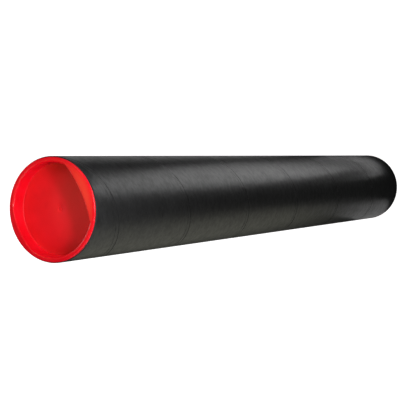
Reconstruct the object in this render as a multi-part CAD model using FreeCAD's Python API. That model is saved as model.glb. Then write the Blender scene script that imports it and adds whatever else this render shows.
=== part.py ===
import FreeCAD, Part
import math
import os

# A spiral-wound cardboard mailing tube with a push-in moulded plug at each end, in millimetres.
# It stands on its lower plug. +Z runs up the tube's axis, the origin is the centre of the face that
# it rests on, and +X points at the grip tabs of the two plugs.

# The tube
TUBE_LENGTH = 660.0
BORE_DIAMETER = 75.0
TUBE_WALL = 2.5

# The outer ply, a strip of paper wound at a slant, with a narrow open seam between its turns
PLY_WIDTH = 100.0
PLY_THICKNESS = 0.35
SEAM_GAP = 0.8
SEAM_BELOW_TOP = 18.7       # where the seam passes above +X, down from the tube's upper end

# The plug's flange, which lies on the tube's cut end
FLANGE_THICKNESS = 1.2
FLANGE_INSET = 0.9          # how far the flange stays within the outside of the tube
FLANGE_EDGE_ROUND = 0.6

# The plug's skirt and the recess inside it
PLUG_WALL = 1.8
RECESS_DEPTH = 12.0         # from the front of the flange to the floor
RECESS_DRAFT = 0.2          # radius that the recess loses from rim to floor, so the moulding releases
MOUTH_WIDTH = 0.9           # the recess opens towards the front in a quarter of an ellipse
MOUTH_DEPTH = 1.6
FLOOR_THICKNESS = 1.6
FLOOR_ROUND = 1.5
LEAD_IN_HEIGHT = 2.5
LEAD_IN_DEPTH = 0.9

# The low beads round the skirt that hold the plug in the bore
BEAD_COUNT = 2
BEAD_HEIGHT = 0.25
BEAD_WIDTH = 1.6
BEAD_PITCH = 4.0
BEAD_CLEARANCE = 0.05       # between a bead and the bore

# The grip tab, a lip across one side of the recess at the rim
TAB_REACH = 5.05            # from the recess wall to the middle of the tab's free edge
TAB_THICKNESS = 1.2
TAB_EDGE_CURVE = 88.0       # radius of the free edge, seen along the axis
TAB_EDGE_CHAMFER = 0.35
TAB_ROOT = 1.3              # how far the tab runs into the rim, past the recess wall

# How many flats make up each small round of the plug's section
ROUND_FLATS = 2

# The mark that the mould's gate leaves at the middle of the floor
GATE_WELL_RADIUS = 2.2
GATE_WELL_DEPTH = 0.4
GATE_NUB_RADIUS = 0.9

# Sizes that follow from those above
BORE_RADIUS = BORE_DIAMETER / 2
TUBE_RADIUS = BORE_RADIUS + TUBE_WALL
TUBE_FOOT = FLANGE_THICKNESS
TUBE_TOP = TUBE_FOOT + TUBE_LENGTH

SKIRT_RADIUS = BORE_RADIUS - BEAD_CLEARANCE - BEAD_HEIGHT
FLANGE_RADIUS = TUBE_RADIUS - FLANGE_INSET
RECESS_RADIUS = SKIRT_RADIUS - PLUG_WALL
FLOOR_HEIGHT = FLANGE_THICKNESS - RECESS_DEPTH
UNDERSIDE_HEIGHT = FLOOR_HEIGHT - FLOOR_THICKNESS


class Section:
    """A closed section beside the axis, drawn edge by edge through (radius, height) points."""

    def __init__(self, radius, height):
        self.start = FreeCAD.Vector(radius, 0, height)
        self.end = self.start
        self.edges = []

    def line(self, radius, height):
        to = FreeCAD.Vector(radius, 0, height)
        self.edges.append(Part.LineSegment(self.end, to).toShape())
        self.end = to

    def rounded(self, centre, width, depth, first_degrees, last_degrees):
        """A small round or quarter ellipse about centre, drawn as ROUND_FLATS narrow flats."""
        for step in range(ROUND_FLATS + 1):
            turn = math.radians(first_degrees + (last_degrees - first_degrees) * step / ROUND_FLATS)
            radius = centre[0] + width * math.cos(turn)
            height = centre[1] + depth * math.sin(turn)
            if self.end.distanceToPoint(FreeCAD.Vector(radius, 0, height)) > 1e-6:
                self.line(radius, height)

    def turned(self):
        """The solid that the closed section makes when it is turned about the axis."""
        self.line(self.start.x, self.start.z)
        face = Part.Face(Part.Wire(self.edges))
        return face.revolve(FreeCAD.Vector(0, 0, 0), FreeCAD.Vector(0, 0, 1), 360)


def wound_seam():
    """The gap between the edges of the outer ply, as a square thread that runs out past both ends."""
    round_the_tube = 2 * math.pi * TUBE_RADIUS
    slant = math.asin(PLY_WIDTH / round_the_tube)
    lead = round_the_tube * math.tan(slant)

    turns_below = math.ceil((TUBE_LENGTH - SEAM_BELOW_TOP) / lead)
    turns_above = math.ceil(SEAM_BELOW_TOP / lead)
    lowest = TUBE_TOP - SEAM_BELOW_TOP - turns_below * lead
    turns = turns_below + turns_above
    spine = Part.makeLongHelix(lead, turns * lead, TUBE_RADIUS, 0, False)

    half_gap = SEAM_GAP / 2 / math.cos(slant)
    inner = TUBE_RADIUS - PLY_THICKNESS
    outer = TUBE_RADIUS + PLY_THICKNESS
    corners = [(outer, -half_gap), (inner, -half_gap), (inner, half_gap), (outer, half_gap)]
    points = [FreeCAD.Vector(radius, 0, height) for radius, height in corners]
    profile = Part.Wire(Part.makePolygon(points + points[:1]).Edges)

    sweep = Part.BRepOffsetAPI.MakePipeShell(Part.Wire(spine.Edges))
    sweep.setFrenetMode(True)
    sweep.add(profile, False, False)
    sweep.build()
    sweep.makeSolid()
    seam = sweep.shape()
    seam.translate(FreeCAD.Vector(0, 0, lowest))
    return seam


def tube():
    """The wound tube, cut square at both ends."""
    wall = Section(BORE_RADIUS, TUBE_FOOT)
    wall.line(TUBE_RADIUS, TUBE_FOOT)
    wall.line(TUBE_RADIUS, TUBE_TOP)
    wall.line(BORE_RADIUS, TUBE_TOP)
    return wall.turned().cut(wound_seam())


def plug_body():
    """The round part of the plug, with the underside of its flange at height 0."""
    outer_round = min(FLANGE_EDGE_ROUND, 0.9 * FLANGE_THICKNESS)
    mouth_width = min(MOUTH_WIDTH, 0.5 * PLUG_WALL)
    floor_radius = RECESS_RADIUS - RECESS_DRAFT

    body = Section(0, UNDERSIDE_HEIGHT)
    body.line(SKIRT_RADIUS - LEAD_IN_DEPTH, UNDERSIDE_HEIGHT)
    body.line(SKIRT_RADIUS, UNDERSIDE_HEIGHT + LEAD_IN_HEIGHT)

    # The beads lie about the middle of the skirt's straight part
    straight_middle = (UNDERSIDE_HEIGHT + LEAD_IN_HEIGHT) / 2
    for bead in range(BEAD_COUNT):
        height = straight_middle + (bead - (BEAD_COUNT - 1) / 2) * BEAD_PITCH
        body.line(SKIRT_RADIUS, height - BEAD_WIDTH / 2)
        body.line(SKIRT_RADIUS + BEAD_HEIGHT, height)
        body.line(SKIRT_RADIUS, height + BEAD_WIDTH / 2)

    body.line(SKIRT_RADIUS, 0)
    body.line(FLANGE_RADIUS, 0)
    outer_centre = (FLANGE_RADIUS - outer_round, FLANGE_THICKNESS - outer_round)
    mouth_centre = (RECESS_RADIUS + mouth_width, FLANGE_THICKNESS - MOUTH_DEPTH)
    floor_centre = (floor_radius - FLOOR_ROUND, FLOOR_HEIGHT + FLOOR_ROUND)
    body.rounded(outer_centre, outer_round, outer_round, 0, 90)
    body.rounded(mouth_centre, mouth_width, MOUTH_DEPTH, 90, 180)
    body.rounded(floor_centre, FLOOR_ROUND, FLOOR_ROUND, 0, -90)
    body.line(GATE_WELL_RADIUS, FLOOR_HEIGHT)
    body.line(GATE_WELL_RADIUS, FLOOR_HEIGHT - GATE_WELL_DEPTH)
    body.line(GATE_NUB_RADIUS, FLOOR_HEIGHT - GATE_WELL_DEPTH)
    body.line(GATE_NUB_RADIUS, FLOOR_HEIGHT)
    body.line(0, FLOOR_HEIGHT)
    return body.turned()


def grip_tab():
    """The lip that fills one side of the recess at the rim, up to a gently curved free edge."""
    underside = FreeCAD.Vector(0, 0, FLANGE_THICKNESS - TAB_THICKNESS)
    disc = Part.makeCylinder(RECESS_RADIUS + TAB_ROOT, TAB_THICKNESS, underside)
    edge_centre = FreeCAD.Vector(RECESS_RADIUS - TAB_REACH - TAB_EDGE_CURVE, 0, underside.z)
    tab = disc.cut(Part.makeCylinder(TAB_EDGE_CURVE, TAB_THICKNESS, edge_centre))
    free_edges = []
    for edge in tab.Edges:
        if isinstance(edge.Curve, Part.Circle) and abs(edge.Curve.Radius - TAB_EDGE_CURVE) < 1e-6:
            free_edges.append(edge)
    return tab.makeChamfer(min(TAB_EDGE_CHAMFER, 0.4 * TAB_THICKNESS), free_edges)


def plug():
    """One end plug, with the underside of its flange at height 0 and its skirt hanging below."""
    return plug_body().fuse(grip_tab()).removeSplitter()


def top_plug():
    seated = plug()
    seated.translate(FreeCAD.Vector(0, 0, TUBE_TOP))
    return seated


def bottom_plug():
    """The same moulding turned over, with its flange under the tube's lower end."""
    seated = plug()
    seated.rotate(FreeCAD.Vector(0, 0, 0), FreeCAD.Vector(1, 0, 0), 180)
    seated.translate(FreeCAD.Vector(0, 0, TUBE_FOOT))
    return seated


pieces = {
    "tube": tube(),
    "top_plug": top_plug(),
    "bottom_plug": bottom_plug(),
}

os.makedirs("parts", exist_ok=True)
for name, shape in pieces.items():
    solid = shape.Solids[0]
    solid.exportStep(f"parts/{name}.step")
    print(name, len(shape.Solids), "solid, valid", solid.isValid(), "volume", round(solid.Volume, 1))
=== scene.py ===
# %% [markdown]
# # A black mailing tube with red end plugs
# This lesson dresses a finished model of a mailing tube: a spiral-wound paperboard tube with a recessed
# red plastic plug pushed into each end. The model comes in first and stays where it is, and every piece
# below is made around it, in metres, in the model's own frame: +Z runs up the tube, and +X points at the
# plugs' grip tabs.

# %% Load the model
import math

import bmesh
import bpy
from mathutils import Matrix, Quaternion, Vector


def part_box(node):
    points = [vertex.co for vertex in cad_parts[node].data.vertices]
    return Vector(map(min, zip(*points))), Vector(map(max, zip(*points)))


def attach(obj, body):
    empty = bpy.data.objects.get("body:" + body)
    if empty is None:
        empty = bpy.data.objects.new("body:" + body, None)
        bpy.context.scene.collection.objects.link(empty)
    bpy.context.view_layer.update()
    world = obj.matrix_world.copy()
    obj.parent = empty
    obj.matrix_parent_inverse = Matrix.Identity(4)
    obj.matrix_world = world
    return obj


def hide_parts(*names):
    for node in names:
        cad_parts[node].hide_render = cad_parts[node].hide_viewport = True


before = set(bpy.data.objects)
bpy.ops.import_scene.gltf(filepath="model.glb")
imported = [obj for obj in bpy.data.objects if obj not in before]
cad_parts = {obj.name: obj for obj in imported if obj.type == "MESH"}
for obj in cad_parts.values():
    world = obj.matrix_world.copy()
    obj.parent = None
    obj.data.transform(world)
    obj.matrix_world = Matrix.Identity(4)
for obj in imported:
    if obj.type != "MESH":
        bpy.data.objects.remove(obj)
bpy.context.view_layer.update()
MM = 0.001

tube_low, tube_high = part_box("tube")
plug_low, plug_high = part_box("top_plug")
TUBE_RADIUS = (tube_high.x - tube_low.x) / 2
FLANGE_RADIUS = (plug_high.x - plug_low.x) / 2
TUBE_FOOT = tube_low.z
TUBE_TOP = tube_high.z
TUBE_LENGTH = TUBE_TOP - TUBE_FOOT
FLANGE_THICKNESS = plug_high.z - TUBE_TOP
print("tube radius", round(TUBE_RADIUS / MM, 2), "mm, length", round(TUBE_LENGTH / MM, 1), "mm")

# %% [markdown]
# ## Turning points into smooth meshes
# Everything here is round, so each piece is a net of points, column by column round the axis. Blender
# shades a net smooth all over unless its true corners are marked, so one helper closes up the net, takes
# out faces that have shrunk to nothing, and marks each edge that turns by more than a set angle as sharp.

# %% Mesh helpers
CORNER = math.radians(35)
SAME_POINT = 0.002 * MM
NO_LENGTH = 0.001 * MM


def on_circle(radius, angle, height):
    """The place at an angle round the axis, which starts at +X."""
    return radius * math.cos(angle), radius * math.sin(angle), height


def finish_mesh(mesh, name):
    """An object made from a bmesh, smooth except at its corners."""
    bmesh.ops.remove_doubles(mesh, verts=mesh.verts, dist=SAME_POINT)
    bmesh.ops.dissolve_degenerate(mesh, edges=mesh.edges, dist=NO_LENGTH)
    bmesh.ops.recalc_face_normals(mesh, faces=mesh.faces)
    for face in mesh.faces:
        face.smooth = True
    for edge in mesh.edges:
        edge.smooth = len(edge.link_faces) == 2 and edge.calc_face_angle() < CORNER
    data = bpy.data.meshes.new(name)
    mesh.to_mesh(data)
    mesh.free()
    made = bpy.data.objects.new(name, data)
    bpy.context.scene.collection.objects.link(made)
    print(name, "has", len(data.vertices), "points and", len(data.polygons), "faces")
    return made


# %% [markdown]
# ## The wound tube
# A real tube is made by winding strips of glued paper round a steel rod at a slant. The edges of the outer
# strip almost meet, which leaves a thin open seam that climbs round the tube as a helix, and beside it a
# faint crease shows where a strip underneath ends. A boolean cut along a helix would leave long thin
# triangles that shade badly. So the net itself is wound: each row of points follows the seam up the tube,
# the seam's corners are rows of their own, and after one full turn a row meets the row of the next turn.

# %% The shape of the winding
PLY_WIDTH = 100 * MM
SEAM_BELOW_TOP = 18.7 * MM
SEAM_GAP = 0.8 * MM
SEAM_DEPTH = 0.25 * MM
CREASE_ABOVE_SEAM = 4.6 * MM
CREASE_WIDTH = 0.7 * MM
CREASE_DEPTH = 0.12 * MM
GROOVE_FLOOR_SHARE = 0.8
PLAIN_STEPS = 8

ROUND_THE_TUBE = 2 * math.pi * TUBE_RADIUS
SLANT = math.asin(PLY_WIDTH / ROUND_THE_TUBE)
LEAD = ROUND_THE_TUBE * math.tan(SLANT)
SEAM_HEIGHT = TUBE_TOP - SEAM_BELOW_TOP
print("the seam climbs", round(LEAD / MM, 1), "mm in each turn")


def groove_rows(middle, width, depth):
    """Rows that sink to depth between two steep sides, as (height above the seam, depth) pairs."""
    half = width / 2 / math.cos(SLANT)
    floor = GROOVE_FLOOR_SHARE * half
    return [(middle - half, 0), (middle - floor, depth), (middle + floor, depth), (middle + half, 0)]


def ply_rows():
    """The rows of one turn, from the seam up to just below the next turn's seam."""
    seam = groove_rows(0, SEAM_GAP, SEAM_DEPTH)
    crease = groove_rows(CREASE_ABOVE_SEAM, CREASE_WIDTH, CREASE_DEPTH)
    first = crease[-1][0]
    last = LEAD + seam[0][0]
    plain = [(first + (last - first) * step / PLAIN_STEPS, 0) for step in range(1, PLAIN_STEPS)]
    return seam + crease + plain


# %% Wind the net
TUBE_COLUMNS = 192
SPARE_TURNS = 3
SPARE_TURNS_ABOVE = 2


def wound_points(mesh, rows):
    """The points of the rows as they climb round the tube, out past both of its ends."""
    turns = math.ceil(TUBE_LENGTH / LEAD) + SPARE_TURNS
    start = SEAM_HEIGHT - (turns - SPARE_TURNS_ABOVE) * LEAD
    net = []
    for turn in range(turns):
        for above, depth in rows:
            row = []
            for column in range(TUBE_COLUMNS):
                share = column / TUBE_COLUMNS
                height = start + above + (turn + share) * LEAD
                place = on_circle(TUBE_RADIUS - depth, 2 * math.pi * share, height)
                row.append(mesh.verts.new(place))
            net.append(row)
    return net


def wound_faces(mesh, net, rows_in_turn):
    """A face between each two rows and columns, where a turn's last column meets the next turn."""
    for index in range(len(net) - 1):
        for column in range(TUBE_COLUMNS):
            low = net[index][column]
            high = net[index + 1][column]
            if column + 1 < TUBE_COLUMNS:
                mesh.faces.new((low, net[index][column + 1], net[index + 1][column + 1], high))
            elif index + 1 + rows_in_turn < len(net):
                next_low = net[index + rows_in_turn][0]
                next_high = net[index + 1 + rows_in_turn][0]
                mesh.faces.new((low, next_low, next_high, high))


# %% [markdown]
# ## The cut ends
# The wound tube is sawn square at both ends, and handling soon wears the sharp outer edge round. A bevel
# would have to cross the seam's groove at each end, where it makes a mess of thin faces. So a plane cuts
# the winding off where the wear begins, and level rings of points lead from the cut over the worn edge
# and in to the bore, which is one plain sheet from end to end.

# %% Cut the tube and close its ends
WALL = 2.5 * MM
BORE_RADIUS = TUBE_RADIUS - WALL
EDGE_WEAR = 0.8 * MM
WEAR_DEGREES = (22.5, 45, 67.5, 90)
ON_THE_CUT = 0.01 * MM
TUBE_ENDS = ((TUBE_FOOT, -1), (TUBE_TOP, 1))


def level_ring(mesh, radius, height):
    angles = [2 * math.pi * column / TUBE_COLUMNS for column in range(TUBE_COLUMNS)]
    return [mesh.verts.new(on_circle(radius, angle, height)) for angle in angles]


def close_end(mesh, end, up):
    """Closes one end from the cut in to the bore, and gives the ring of points at the bore."""
    level = end - up * EDGE_WEAR
    cut = []
    for edge in mesh.edges:
        if edge.is_boundary and all(abs(point.co.z - level) < ON_THE_CUT for point in edge.verts):
            cut.append(edge)

    rings = []
    for turn in [math.radians(degrees) for degrees in WEAR_DEGREES]:
        radius = TUBE_RADIUS - EDGE_WEAR + EDGE_WEAR * math.cos(turn)
        rings.append(level_ring(mesh, radius, level + up * EDGE_WEAR * math.sin(turn)))
    rings.append(level_ring(mesh, BORE_RADIUS, end))

    first = rings[0]
    loop = [mesh.edges.new(pair) for pair in zip(first, first[1:] + first[:1])]
    bmesh.ops.bridge_loops(mesh, edges=cut + loop)
    for low, high in zip(rings, rings[1:]):
        for column in range(TUBE_COLUMNS):
            after = (column + 1) % TUBE_COLUMNS
            mesh.faces.new((low[column], low[after], high[after], high[column]))
    return rings[-1]


def wound_tube():
    mesh = bmesh.new()
    rows = ply_rows()
    wound_faces(mesh, wound_points(mesh, rows), len(rows))
    for end, up in TUBE_ENDS:
        whole = mesh.verts[:] + mesh.edges[:] + mesh.faces[:]
        level = (0, 0, end - up * EDGE_WEAR)
        bmesh.ops.bisect_plane(mesh, geom=whole, plane_co=level, plane_no=(0, 0, up), clear_outer=True)
    low, high = [close_end(mesh, end, up) for end, up in TUBE_ENDS]
    for column in range(TUBE_COLUMNS):
        after = (column + 1) % TUBE_COLUMNS
        mesh.faces.new((low[column], high[column], high[after], low[after]))
    return finish_mesh(mesh, "wound_tube")


tube = wound_tube()
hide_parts("tube")
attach(tube, "tube")

# %% [markdown]
# ## The end plugs
# Each plug is one plastic moulding: a flange that lies on the tube's cut end, a skirt that grips the bore,
# a recessed floor, a grip tab that bridges one side of the recess, and a smaller lip opposite it. A
# revolved section would give all of it except the tab and the lip. Here the section is drawn again for
# every column round the axis, and in the columns that cross the tab or the lip it reaches further in, so
# one net holds the whole moulding with no seam in it.

# %% The plug's sizes
SKIRT_RADIUS = 37.2 * MM
RECESS_RADIUS = 35.4 * MM
RECESS_DEPTH = 12 * MM
RECESS_DRAFT = 0.2 * MM
FLOOR_THICKNESS = 1.6 * MM
FLOOR_ROUND = 0.6 * MM
FLANGE_WIDENED_BY = 0.4 * MM
FLANGE_ROUND = 1.0 * MM
MOUTH_WIDTH = 1.7 * MM
MOUTH_DEPTH = 1.5 * MM
BEAD_HEIGHT = 0.25 * MM
BEAD_WIDTH = 1.6 * MM
BEAD_PITCH = 4 * MM
LEAD_IN_HEIGHT = 2.5 * MM
LEAD_IN_DEPTH = 0.9 * MM
GATE_WELL_RADIUS = 2.2 * MM
GATE_WELL_DEPTH = 0.4 * MM
GATE_NUB_RADIUS = 0.9 * MM
GATE_ROUND = 0.12 * MM

FLANGE_EDGE = FLANGE_RADIUS + FLANGE_WIDENED_BY
FLOOR_HEIGHT = FLANGE_THICKNESS - RECESS_DEPTH
UNDERSIDE_HEIGHT = FLOOR_HEIGHT - FLOOR_THICKNESS
MOUTH_RADIUS = RECESS_RADIUS + MOUTH_WIDTH
print("the recess is", round(2 * MOUTH_RADIUS / MM, 1), "mm across at its mouth")


# %% The grip tab and the smaller lip
TAB_FROM_AXIS = 30.35 * MM
TAB_CURVE = 88 * MM
SMALL_LIP_FROM_AXIS = 34.1 * MM
SMALL_LIP_CURVE = 52.7 * MM
LIP_THICKNESS = 1.2 * MM
LIP_ROUND = 0.4 * MM


class Lip:
    """A lip across the mouth: its angle, how near the axis its edge comes, and the edge's radius."""

    def __init__(self, degrees, nearest, curve):
        self.middle = math.radians(degrees)
        self.curve = curve
        self.centre = curve - nearest
        end = (curve ** 2 - self.centre ** 2 - MOUTH_RADIUS ** 2) / (2 * self.centre)
        self.half_angle = math.acos(end / MOUTH_RADIUS)

    def turn(self, angle):
        """How far an angle round the axis is from the lip's middle."""
        return math.remainder(angle - self.middle, 2 * math.pi)

    def edge(self, angle):
        """How far the free edge is from the axis at an angle."""
        turn = self.turn(angle)
        across = self.centre * math.sin(turn)
        return math.sqrt(self.curve ** 2 - across ** 2) - self.centre * math.cos(turn)


GRIP_TAB = Lip(0, TAB_FROM_AXIS, TAB_CURVE)
SMALL_LIP = Lip(180, SMALL_LIP_FROM_AXIS, SMALL_LIP_CURVE)
LIPS = (GRIP_TAB, SMALL_LIP)
for title, lip in (("tab", GRIP_TAB), ("small lip", SMALL_LIP)):
    print("the", title, "spans", round(2 * math.degrees(lip.half_angle), 1), "degrees of the rim")

# %% [markdown]
# ### The lip of the recess
# The mouth of the recess is a quarter of an ellipse. Where a lip crosses it, the section leaves the mouth
# at the lip's underside and goes round the lip's two soft edges to the front. Both kinds of section have
# the same number of points, because neighbouring columns are joined point by point.

# %% The lip of the recess at one angle
WALL_STEPS = 3
UNDER_STEPS = 4
OVER_STEPS = 5
OPEN_STEPS = UNDER_STEPS + OVER_STEPS + 1
AT_LIP_END = 1e-6


def arc(radius, height, size, first, last, steps):
    """Points on a small round about (radius, height), from one angle in degrees to another."""
    points = []
    for step in range(steps + 1):
        turn = math.radians(first + (last - first) * step / steps)
        points.append((radius + size * math.cos(turn), height + size * math.sin(turn)))
    return points


def mouth_run(first, last, steps):
    """Points on the mouth's ellipse, which starts at the wall and is at the front a quarter turn on."""
    points = []
    for step in range(steps + 1):
        turn = first + (last - first) * step / steps
        radius = MOUTH_RADIUS - MOUTH_WIDTH * math.cos(turn)
        points.append((radius, FLANGE_THICKNESS - MOUTH_DEPTH + MOUTH_DEPTH * math.sin(turn)))
    return points


def lip_points(angle):
    """From the recess wall to the flat front: the mouth, with a lip over it where there is one."""
    front = FLANGE_THICKNESS
    under_turn = math.asin(1 - LIP_THICKNESS / MOUTH_DEPTH)
    lips = [lip for lip in LIPS if abs(lip.turn(angle)) < lip.half_angle - AT_LIP_END]
    if not lips:
        return mouth_run(0, under_turn, WALL_STEPS) + mouth_run(under_turn, math.pi / 2, OPEN_STEPS)
    edge = lips[0].edge(angle)
    meets = math.acos(min(1, (MOUTH_RADIUS - edge) / MOUTH_WIDTH))
    from_wall = mouth_run(0, max(under_turn, meets), WALL_STEPS)
    under_middle = front - LIP_THICKNESS + LIP_ROUND
    under = arc(edge + LIP_ROUND, under_middle, LIP_ROUND, 270, 180, UNDER_STEPS)
    over = arc(edge + LIP_ROUND, front - LIP_ROUND, LIP_ROUND, 180, 90, OVER_STEPS)

    # Near the lip's ends it thins out, and nothing of it goes back past the mouth that it grows from
    end_radius, end_height = from_wall[-1]
    under = [(min(radius, end_radius), max(height, end_height)) for radius, height in under]
    over = [(radius, max(height, end_height)) for radius, height in over]
    return from_wall + under + over


# %% The plug's section at one angle
GATE_STEPS = 3
FLOOR_STEPS = 6
ROUND_STEPS = 6
BEAD_HALF_STEPS = 4


def floor_points():
    """From the middle of the floor out to the wall: the gate's nub and well, the floor, its corner."""
    nub_top = FLOOR_HEIGHT - GATE_ROUND
    well_floor = FLOOR_HEIGHT - GATE_WELL_DEPTH + GATE_ROUND
    points = [(0, FLOOR_HEIGHT)]
    points += arc(GATE_NUB_RADIUS - GATE_ROUND, nub_top, GATE_ROUND, 90, 0, GATE_STEPS)
    points += arc(GATE_NUB_RADIUS + GATE_ROUND, well_floor, GATE_ROUND, 180, 270, GATE_STEPS)
    points += arc(GATE_WELL_RADIUS - GATE_ROUND, well_floor, GATE_ROUND, 270, 360, GATE_STEPS)
    points += arc(GATE_WELL_RADIUS + GATE_ROUND, nub_top, GATE_ROUND, 180, 90, GATE_STEPS)
    last = RECESS_RADIUS - RECESS_DRAFT - FLOOR_ROUND
    for step in range(1, FLOOR_STEPS):
        radius = GATE_WELL_RADIUS + (last - GATE_WELL_RADIUS) * step / FLOOR_STEPS
        points.append((radius, FLOOR_HEIGHT))
    points += arc(last, FLOOR_HEIGHT + FLOOR_ROUND, FLOOR_ROUND, -90, 0, ROUND_STEPS)
    return points


def skirt_points():
    """From under the flange down the skirt, over its two beads, to the middle of the underside."""
    points = [(SKIRT_RADIUS, 0)]
    middle = (UNDERSIDE_HEIGHT + LEAD_IN_HEIGHT) / 2
    for bead in (middle + BEAD_PITCH / 2, middle - BEAD_PITCH / 2):
        for step in range(2 * BEAD_HALF_STEPS + 1):
            across = 1 - step / BEAD_HALF_STEPS
            swell = BEAD_HEIGHT * math.cos(across * math.pi / 2)
            points.append((SKIRT_RADIUS + swell, bead + across * BEAD_WIDTH / 2))
    points.append((SKIRT_RADIUS, UNDERSIDE_HEIGHT + LEAD_IN_HEIGHT))
    points.append((SKIRT_RADIUS - LEAD_IN_DEPTH, UNDERSIDE_HEIGHT))
    points.append((0, UNDERSIDE_HEIGHT))
    return points


def plug_section(angle):
    """The whole closed section, from the middle of the floor round to the middle of the underside."""
    round_radius = FLANGE_EDGE - FLANGE_ROUND
    round_height = FLANGE_THICKNESS - FLANGE_ROUND
    flange = arc(round_radius, round_height, FLANGE_ROUND, 90, 0, ROUND_STEPS) + [(FLANGE_EDGE, 0)]
    return floor_points() + lip_points(angle) + flange + skirt_points()


print("each section of a plug has", len(plug_section(0)), "points")

# %% Sweep the section round the axis
PLUG_COLUMNS = 216


def column_angles():
    """Even steps round the axis, with the nearest one moved on to each end of a lip."""
    angles = [2 * math.pi * column / PLUG_COLUMNS for column in range(PLUG_COLUMNS)]
    for lip in LIPS:
        for end in (lip.middle - lip.half_angle, lip.middle + lip.half_angle):
            end %= 2 * math.pi
            nearest = min(range(PLUG_COLUMNS), key=lambda column: abs(angles[column] - end))
            angles[nearest] = end
    return angles


def end_plug(name, seat, flip):
    """A plug with its flange on the cut end at height seat, turned over about X where flip is -1."""
    mesh = bmesh.new()
    columns = []
    for angle in column_angles():
        column = []
        for radius, height in plug_section(angle):
            column.append(mesh.verts.new(on_circle(radius, flip * angle, seat + flip * height)))
        columns.append(column)
    for index, column in enumerate(columns):
        after = columns[(index + 1) % PLUG_COLUMNS]
        for row in range(len(column) - 1):
            mesh.faces.new((column[row], after[row], after[row + 1], column[row + 1]))
    return finish_mesh(mesh, name)


top_plug = end_plug("top_end_plug", TUBE_TOP, 1)
bottom_plug = end_plug("bottom_end_plug", TUBE_FOOT, -1)
for piece, node in ((top_plug, "top_plug"), (bottom_plug, "bottom_plug")):
    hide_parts(node)
    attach(piece, node)

# %% [markdown]
# ## Writing shaders as sums
# A material is a graph of nodes, and long graphs are hard to read as a list of links. A small class can
# wrap one socket so that ordinary arithmetic on it adds the Math node that does the sum. Then a mask reads
# as a formula, and any other kind of node comes from one method that sets it up and fills its sockets.

# %% The socket class
class Value:
    """One output socket of a node tree, on which + - * build Math nodes."""

    def __init__(self, tree, socket=None):
        self.tree = tree
        self.socket = socket

    def node(self, kind, settings=None, inputs=None, output=0):
        """Adds a node, sets its settings first and its sockets second, and wraps one output."""
        made = self.tree.nodes.new(kind)
        for key, setting in (settings or {}).items():
            setattr(made, key, setting)
        for key, value in (inputs or {}).items():
            self.fill(made.inputs[key], value)
        return Value(self.tree, made.outputs[output] if made.outputs else None)

    def fill(self, socket, value):
        """Links a value to a socket, or sets the socket to a number, place or colour."""
        if isinstance(value, Value):
            self.tree.links.new(value.socket, socket)
        elif socket.type == "RGBA":
            socket.default_value = (*value, 1)
        else:
            socket.default_value = value

    def math(self, operation, *others):
        """A Math node that works on this value and the others."""
        numbers = dict(enumerate((self, *others)))
        return self.node("ShaderNodeMath", {"operation": operation}, numbers)

    def __add__(self, other):
        return self.math("ADD", other)

    __radd__ = __add__

    def __sub__(self, other):
        return self.math("SUBTRACT", other)

    def __rsub__(self, other):
        return self.node("ShaderNodeMath", {"operation": "SUBTRACT"}, {0: other, 1: self})

    def __mul__(self, other):
        return self.math("MULTIPLY", other)

    __rmul__ = __mul__

    def between(self, low, high):
        """0 below low, 1 above high and a smooth step between."""
        settings = {"interpolation_type": "SMOOTHSTEP"}
        inputs = {"Value": self, "From Min": low, "From Max": high}
        return self.node("ShaderNodeMapRange", settings, inputs)

    def mix(self, first, second):
        """The colour first where this is 0, and second where it is 1."""
        inputs = {0: self, 6: first, 7: second}
        return self.node("ShaderNodeMix", {"data_type": "RGBA"}, inputs, output=2)


# %% Helpers for the materials
def new_material(name):
    """A material with nothing in it, and the start of its graph."""
    material = bpy.data.materials.new(name)
    material.use_nodes = True
    material.node_tree.nodes.clear()
    return material, Value(material.node_tree)


def split(place):
    """The x, y and z of a place."""
    xyz = place.node("ShaderNodeSeparateXYZ", None, {0: place})
    return [Value(place.tree, socket) for socket in xyz.socket.node.outputs]


def from_cut_end(z):
    """How far a height is from the tube's nearer cut end."""
    return (z - TUBE_TOP).math("ABSOLUTE").math("MINIMUM", (z - TUBE_FOOT).math("ABSOLUTE"))


def noise(place, scale, detail, roughness, stretch=(1, 1, 1), offset=0):
    """Noise from 0 to 1 about a half, with its grain drawn out along the axes where stretch is small."""
    inputs = {"Vector": place, "Scale": stretch, "Location": (offset,) * 3}
    moved = place.node("ShaderNodeMapping", None, inputs)
    inputs = {"Vector": moved, "Scale": scale, "Detail": detail, "Roughness": roughness}
    return place.node("ShaderNodeTexNoise", None, inputs)


# %% [markdown]
# ## Black paper outside, plain board inside
# The outer ply is uncoated black paper: nearly black, a little shiny, and mottled by fibres that lie along
# the strip. The strip is wound at a slant, so the texture is laid out in the strip's own directions, along
# the seam and across it, which are worked out from the angle round the axis and the height. The sheen is
# uneven too, because the fibres that stand up catch the light and the hollows don't. A bump alone left
# the highlight too smooth, so a thin coat that comes and goes with the fibres breaks it up. Inside the
# bore and on the cut ends the board is matt and grey-brown, with the edges of its plies as fine rings.

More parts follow.
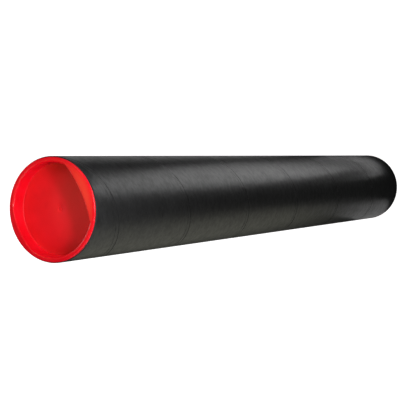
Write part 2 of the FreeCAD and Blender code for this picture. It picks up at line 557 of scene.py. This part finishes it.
# %% Colours and places of the paper and board
PAPER_DARK = (0.009, 0.009, 0.0092)
PAPER_PALE = (0.015, 0.0152, 0.0155)
SEAM_SHADE = (0.003, 0.003, 0.003)
BOARD_DARK = (0.13, 0.105, 0.08)
BOARD_PALE = (0.2, 0.165, 0.13)
PLY_SHADE = (0.09, 0.072, 0.055)
PLY_SPACING = 0.42 * MM
SEAM_LINE = (0.2 * MM, 0.7 * MM)
CREASE_LINE = (0.1 * MM, 0.6 * MM)
PAPER_SKIN = (TUBE_RADIUS - 0.75 * MM, TUBE_RADIUS - 0.65 * MM)
PAPER_FROM_END = (0.8 * MM, 1.2 * MM)
CREASE_SHARE = 0.7
SEAM_DARKENING = 0.4
PLY_DARKENING = 0.35
MOTTLE_RANGE = (0.3, 0.7)
PAPER_ROUGHNESS = 0.37
ROUGHNESS_SPREAD = 0.4
CUT_ROUGHNESS = 0.95
COAT = 0.3


def seam_shadow(angle, z):
    """1 in the soft dark line that follows the seam, and less in the crease's."""
    above = (z - angle * (LEAD / (2 * math.pi)) - SEAM_HEIGHT).math("FLOORED_MODULO", LEAD)
    seam_gap = above.math("PINGPONG", LEAD / 2)
    crease_gap = (above - CREASE_ABOVE_SEAM).math("ABSOLUTE")
    seam_line = 1 - seam_gap.between(*SEAM_LINE)
    crease_line = 1 - crease_gap.between(*CREASE_LINE)
    return seam_line.math("MAXIMUM", crease_line * CREASE_SHARE)


# %% Paper and board
def paperboard():
    material, start = new_material("black_paperboard")
    place = start.node("ShaderNodeTexCoord", output="Object")
    x, y, z = split(place)
    radius = (x * x + y * y).math("POWER", 0.5)
    angle = y.math("ARCTAN2", x)

    around = angle * TUBE_RADIUS
    along = around * math.cos(SLANT) + z * math.sin(SLANT)
    across = z * math.cos(SLANT) - around * math.sin(SLANT)
    strip = start.node("ShaderNodeCombineXYZ", None, {0: along, 1: across, 2: radius})

    fibre = noise(strip, scale=900, detail=4, roughness=0.6, stretch=(0.25, 1, 1))
    cloud = noise(strip, scale=60, detail=3, roughness=0.5, stretch=(0.5, 1, 1), offset=3)
    streak = noise(strip, scale=260, detail=2, roughness=0.5, stretch=(0.03, 1, 1), offset=7)
    nap = noise(strip, scale=260, detail=3, roughness=0.6, stretch=(0.75, 1, 1), offset=11)
    mottle = fibre * 0.5 + cloud * 0.3 + streak * 0.2
    relief = nap * 0.75 + fibre * 0.25

    black = mottle.between(*MOTTLE_RANGE).mix(PAPER_DARK, PAPER_PALE)
    black = (seam_shadow(angle, z) * SEAM_DARKENING).mix(black, SEAM_SHADE)
    kraft = mottle.between(*MOTTLE_RANGE).mix(BOARD_DARK, BOARD_PALE)
    plies = (radius * (2 * math.pi / PLY_SPACING)).math("SINE").between(-1, 1)
    kraft = (plies * PLY_DARKENING).mix(kraft, PLY_SHADE)
    colour = radius.between(*PAPER_SKIN).mix(kraft, black)

    uncut = from_cut_end(z).between(*PAPER_FROM_END)
    paper_rough = PAPER_ROUGHNESS + (mottle - 0.5) * ROUGHNESS_SPREAD
    rough = paper_rough * uncut + (1 - uncut) * CUT_ROUGHNESS
    bump = {"Strength": 0.7, "Distance": 0.3 * MM, "Height": relief}
    surface = {
        "Base Color": colour,
        "Roughness": rough,
        "Normal": start.node("ShaderNodeBump", None, bump),
        "Specular IOR Level": 0.38,
        "Coat Weight": nap.between(*MOTTLE_RANGE) * COAT * uncut,
        "Coat Roughness": PAPER_ROUGHNESS,
    }
    shader = start.node("ShaderNodeBsdfPrincipled", None, surface)
    start.node("ShaderNodeOutputMaterial", None, {"Surface": shader})
    print(material.name, "has", len(material.node_tree.nodes), "nodes")
    return material


tube.data.materials.append(paperboard())

# %% [markdown]
# ## Red moulded plastic
# The plugs are soft polythene, moulded in one bright red. Such plastic has an even colour, a satin surface
# with a faint grain from the mould, and it lets a little light into itself, which takes the hardness off
# its thin edges. A short subsurface distance gives that, with the same colour for the light inside. The
# mould is polished at the rim and left duller at the floor, so the floor is rougher than the rest.

# %% Plastic
RED_DARK = (0.68, 0.002, 0.010)
RED_PALE = (0.73, 0.0028, 0.0125)
PLASTIC_ROUGHNESS = 0.3
FLOOR_ROUGHER_BY = 0.2
FLOW_SPREAD = 0.08
GRAIN_SPREAD = 0.06
FLOOR_FROM_END = (9 * MM, 10.5 * MM)


def plastic():
    material, start = new_material("red_plastic")
    place = start.node("ShaderNodeTexCoord", output="Object")
    grain = noise(place, scale=1400, detail=3, roughness=0.6)
    flow = noise(place, scale=70, detail=2, roughness=0.5, offset=5)
    on_floor = from_cut_end(split(place)[2]).between(*FLOOR_FROM_END)
    unevenness = (flow - 0.5) * FLOW_SPREAD + (grain - 0.5) * GRAIN_SPREAD
    rough = PLASTIC_ROUGHNESS + on_floor * FLOOR_ROUGHER_BY + unevenness
    bump = {"Strength": 0.12, "Distance": 0.05 * MM, "Height": grain}
    surface = {
        "Base Color": flow.between(*MOTTLE_RANGE).mix(RED_DARK, RED_PALE),
        "Roughness": rough,
        "Normal": start.node("ShaderNodeBump", None, bump),
        "Specular IOR Level": 0.3,
        "Subsurface Weight": 0.15,
        "Subsurface Radius": (1.0, 0.2, 0.1),
        "Subsurface Scale": 1.5 * MM,
    }
    shader = start.node("ShaderNodeBsdfPrincipled", None, surface)
    start.node("ShaderNodeOutputMaterial", None, {"Surface": shader})
    print(material.name, "has", len(material.node_tree.nodes), "nodes")
    return material


red = plastic()
for piece in (top_plug, bottom_plug):
    piece.data.materials.append(red)

# %% [markdown]
# ## The floor
# The tube stands on a plain pale floor, and the photograph's ground is white. If the lamps had to make the
# floor white they would be too strong for the tube. So the floor is a grey that the lamps light as they
# light the tube, and it adds a glow of its own only to rays that come straight from the camera. The glow
# is added to the lit surface, not put in its place, so the tube's shadow still shows. The glow and the
# white sky are kept out of reflections, because the tube's dark band needs something dark to mirror. No
# metal or glass here would miss them. From below the floor is clear, so the lower plug can be seen there.

# %% Floor and sky
FLOOR_HALF_WIDTH = 6.0
FLOOR_CORNERS = ((-1, -1), (1, -1), (1, 1), (-1, 1))
FLOOR_SEEN = (0.8, 0.8, 0.8)
FLOOR_MIRRORED = (0.06, 0.06, 0.06)
WHITE = (1, 1, 1)
SKY_LIGHT = 0.01


def pale_floor():
    material, start = new_material("pale_floor")
    seen = start.node("ShaderNodeLightPath", output="Is Camera Ray")
    colour = seen.mix(FLOOR_MIRRORED, FLOOR_SEEN)
    lit = start.node("ShaderNodeBsdfDiffuse", None, {"Color": colour})
    glow = start.node("ShaderNodeEmission", None, {"Color": WHITE, "Strength": seen})
    both = start.node("ShaderNodeAddShader", None, {0: lit, 1: glow})
    underside = start.node("ShaderNodeNewGeometry", output="Backfacing")
    clear = start.node("ShaderNodeBsdfTransparent", None, {"Color": WHITE})
    shader = start.node("ShaderNodeMixShader", None, {0: underside, 1: both, 2: clear})
    start.node("ShaderNodeOutputMaterial", None, {"Surface": shader})
    return material


floor_mesh = bmesh.new()
corners = [(FLOOR_HALF_WIDTH * x, FLOOR_HALF_WIDTH * y, 0) for x, y in FLOOR_CORNERS]
floor_mesh.faces.new([floor_mesh.verts.new(corner) for corner in corners])
floor = finish_mesh(floor_mesh, "floor")
floor.data.materials.append(pale_floor())

world = bpy.data.worlds.new("studio")
bpy.context.scene.world = world
world.use_nodes = True
world.node_tree.nodes.clear()
sky = Value(world.node_tree)
seen = sky.node("ShaderNodeLightPath", output="Is Camera Ray")
strength = SKY_LIGHT + seen * (1 - SKY_LIGHT)
background = sky.node("ShaderNodeBackground", None, {"Color": WHITE, "Strength": strength})
sky.node("ShaderNodeOutputWorld", None, {"Surface": background})

# %% [markdown]
# ## The camera
# The photograph shows the tube lying on its side, seen past the end of one plug. Here the tube stands up,
# so the same view is had by lifting the camera above the upper plug, aiming it at the tube's axis and
# turning it on its side by a little over a right angle.

# %% Camera
CAMERA_PLACE = Vector((0.45480, -0.19637, 1.31818))
CAMERA_AIM = Vector((-0.00039, -0.00090, 0.43552))
CAMERA_ROLL = math.radians(-94.23)
CAMERA_LENS = 98.63
PLUG_FRONT = Vector((0, 0, plug_high.z))

camera = bpy.data.objects.new("camera", bpy.data.cameras.new("camera"))
bpy.context.scene.collection.objects.link(camera)
camera.data.lens = CAMERA_LENS
camera.location = CAMERA_PLACE
camera.rotation_mode = "QUATERNION"
level = (CAMERA_AIM - CAMERA_PLACE).to_track_quat("-Z", "Y")
camera.rotation_quaternion = level @ Quaternion((0, 0, 1), CAMERA_ROLL)
bpy.context.scene.camera = camera
print("the camera is", round((CAMERA_PLACE - PLUG_FRONT).length, 2), "m from the upper plug")

# %% [markdown]
# ## Soft light
# The tube's side is seen at a steep slant, so what it mirrors lies low behind it, near the floor. Lamps
# that stood high would miss it. So the bands of light along the tube come from soft lamps that lie face up
# on the floor, one for each band and two small ones for the tube's foot. Two tall lamps further off give
# the tube some form when it is seen from its other sides. The plug has lamps of its own: a small strong
# one low on the tab's side, which makes the tab throw its shadow over the floor of the recess, broad weak
# ones round it that fill that shadow, and small ones for the sheen on the tab and along the rim.

# %% A soft lamp
def soft_lamp(name, place, aim, size, brightness, tint=WHITE):
    """A rectangular lamp that is seen only by its light, as bright all over as brightness says."""
    data = bpy.data.lights.new(name, "AREA")
    data.shape = "RECTANGLE"
    data.size, data.size_y = size
    data.energy = math.pi * size[0] * size[1] * brightness
    data.color = tint
    lamp = bpy.data.objects.new(name, data)
    bpy.context.scene.collection.objects.link(lamp)
    lamp.location = place
    lamp.rotation_mode = "QUATERNION"
    lamp.rotation_quaternion = (Vector(aim) - Vector(place)).to_track_quat("-Z", "Y")
    lamp.visible_camera = False
    return lamp


# %% Lamps that lie on the floor
LYING_HEIGHT = 4 * MM


def lying_lamp(name, x, y, size, degrees, brightness, tint=WHITE):
    """A lamp that lies face up on the floor, turned by an angle from +X."""
    lamp = soft_lamp(name, (x, y, LYING_HEIGHT), (x, y, 1), size, brightness, tint)
    turned = Quaternion((0, 0, 1), math.radians(degrees))
    lamp.rotation_quaternion = turned @ Quaternion((1, 0, 0), math.pi)


# Each lamp's place on the floor, its size, how far it is turned, its brightness and its tint
lying_lamp("band_lamp", 0.461, 0.138, (0.716, 0.27), -6.9, 1.45)
lying_lamp("flank_lamp", -0.21, -0.54, (0.708, 0.716), 9.1, 0.38, (1, 1, 0.82))
lying_lamp("back_lamp", -0.374, 0.527, (0.704, 0.784), -2.8, 0.39)
lying_lamp("foot_lamp", -0.001, -0.068, (0.064, 0.056), 0, 0.38)
lying_lamp("foot_strip_lamp", 0.040, 0.054, (0.12, 0.01), -61.7, 1.58)

# %% Lamps that stand beside the tube
STANDING_SIZE = (0.35, 0.6)
STANDING_FOOT = 0.05
STANDING_DISTANCE = 1.3


def standing_lamp(name, azimuth, brightness):
    """A tall lamp beside the tube that reaches no higher than its top."""
    level = STANDING_FOOT + STANDING_SIZE[1] / 2
    place = on_circle(STANDING_DISTANCE, math.radians(azimuth), level)
    soft_lamp(name, place, (0, 0, level), STANDING_SIZE, brightness)


# Each lamp's angle round the tube from +X, and its brightness
standing_lamp("left_side_lamp", 280, 4)
standing_lamp("rear_side_lamp", 150, 7)


# %% Lamps for the upper plug
def plug_lamp(name, azimuth, height, distance, size, brightness, tint=WHITE):
    """A lamp that looks at the upper plug from an angle round +Z and an angle above its flange."""
    rise = math.radians(height)
    way = Vector(on_circle(math.cos(rise), math.radians(azimuth), math.sin(rise)))
    soft_lamp(name, PLUG_FRONT + way * distance, PLUG_FRONT, size, brightness, tint)


# Each lamp's angle round +Z, its angle above the flange, distance, size, brightness and tint
plug_lamp("key_lamp", -16, 20, 0.2, (0.06, 0.02), 66)
plug_lamp("wide_key_lamp", -16, 20, 0.2, (0.2, 0.03), 8)
plug_lamp("front_lamp", -30, 25, 0.6, (0.3, 0.2), 7)
plug_lamp("rear_fill_lamp", 150, 16, 0.6, (0.3, 0.2), 5)
plug_lamp("low_fill_lamp", 240, 50, 0.6, (0.3, 0.3), 2.2)
plug_lamp("high_fill_lamp", 60, 50, 0.6, (0.3, 0.3), 2.8)
plug_lamp("tab_sheen_lamp", 140, 65.5, 0.105, (0.045, 0.02), 7, (1, 0.68, 0.2))
plug_lamp("rim_lamp", -75, 4, 0.5, (0.6, 0.04), 6)
print("the scene has", len(bpy.data.lights), "lamps")

# %% [markdown]
# ## Finishing
# The last cell sets the scene's view transform to Standard.

# %% Finish
scene = bpy.context.scene
scene.view_settings.view_transform = "Standard"
